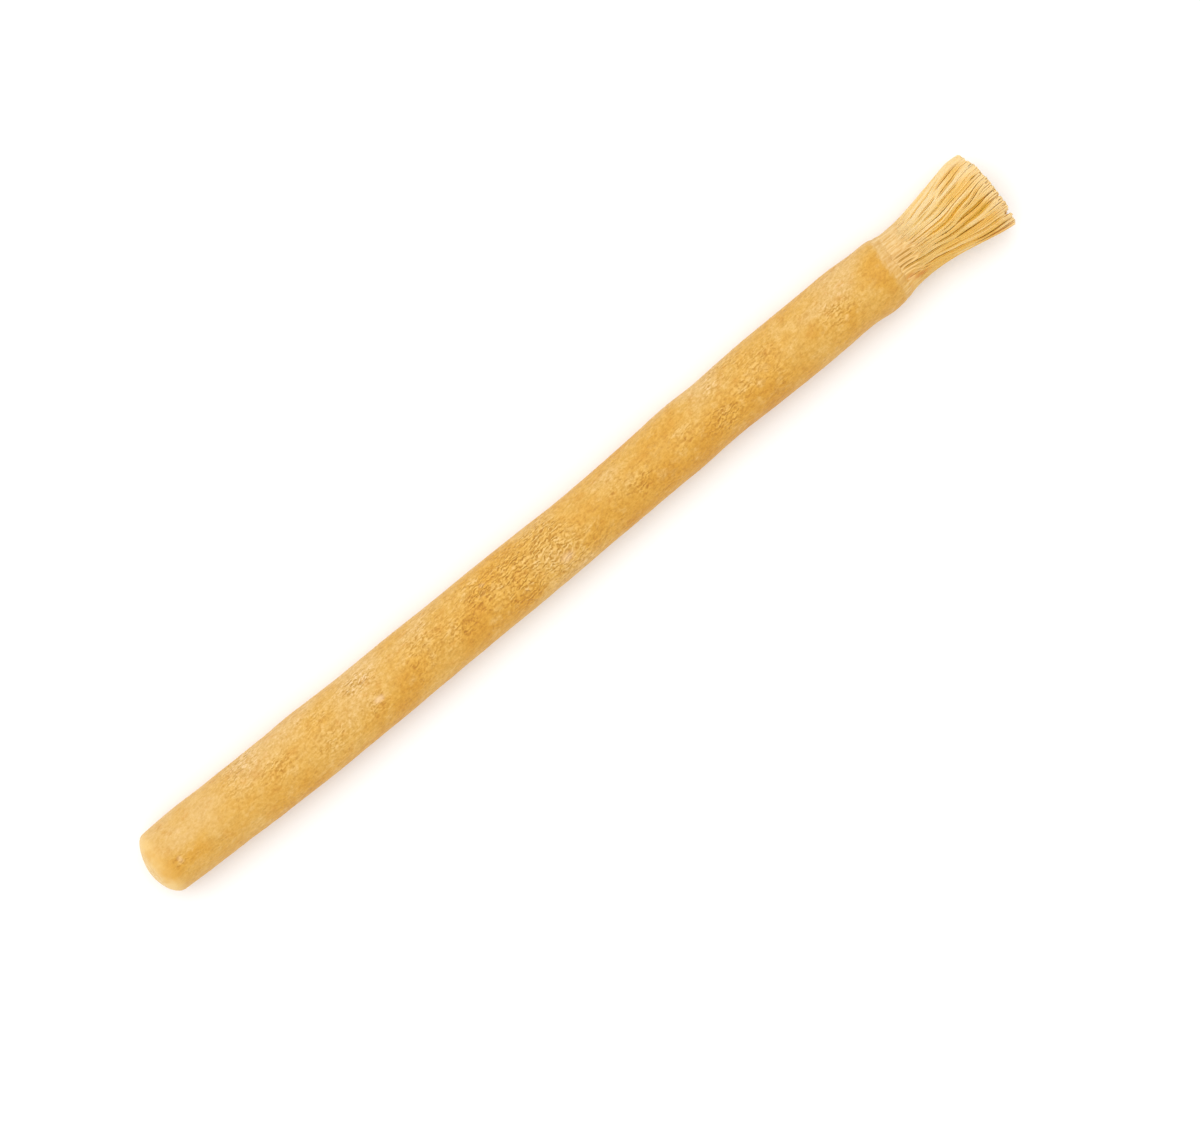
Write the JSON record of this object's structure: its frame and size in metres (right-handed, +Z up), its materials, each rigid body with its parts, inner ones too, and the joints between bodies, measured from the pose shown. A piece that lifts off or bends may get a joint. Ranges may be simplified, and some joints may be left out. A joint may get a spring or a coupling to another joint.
{
  "type": "miswak stick",
  "caption": "Natural chewing stick: a length of root in smooth golden bark, with one end peeled and frayed into a short flared brush of its own wood fibres.",
  "frame": {"origin": "on the resting surface, under the middle of the stick's bounding box", "axes": "+X along the stick towards the brush, +Z up from the surface that it lies on"},
  "size_m": [0.15, 0.0122, 0.0105],
  "materials": {
    "bark": "satin golden root bark, finely mottled, with patches of fine wrinkles",
    "bare_wood": "matt pale golden wood fibres"
  },
  "bodies": {
    "root": {"miswak_stick": "bark"}
  },
  "joints": []
}
